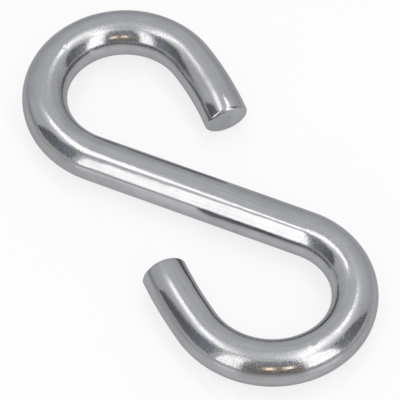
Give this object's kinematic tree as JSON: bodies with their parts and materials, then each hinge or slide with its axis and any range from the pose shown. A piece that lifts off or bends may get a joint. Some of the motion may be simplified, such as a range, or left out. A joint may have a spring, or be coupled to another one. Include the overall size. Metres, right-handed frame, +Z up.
{
  "type": "s hook",
  "caption": "Open S hook bent from round stainless bar, with two bends of like size that turn to the same hand and square-cut, rounded tips.",
  "frame": {"origin": "middle of the hook's outline, on the surface that it lies on", "axes": "+Y along the line of pull, from the lower bend to the upper bend; +Z up out of the plane that the hook is bent in; +X to the side that the upper bend opens to"},
  "size_m": [0.0372, 0.084, 0.008],
  "materials": {
    "stainless_bar": "bright drawn and tumbled stainless bar, slightly grained round the bends"
  },
  "bodies": {
    "root": {"s_hook": "stainless_bar"}
  },
  "joints": []
}
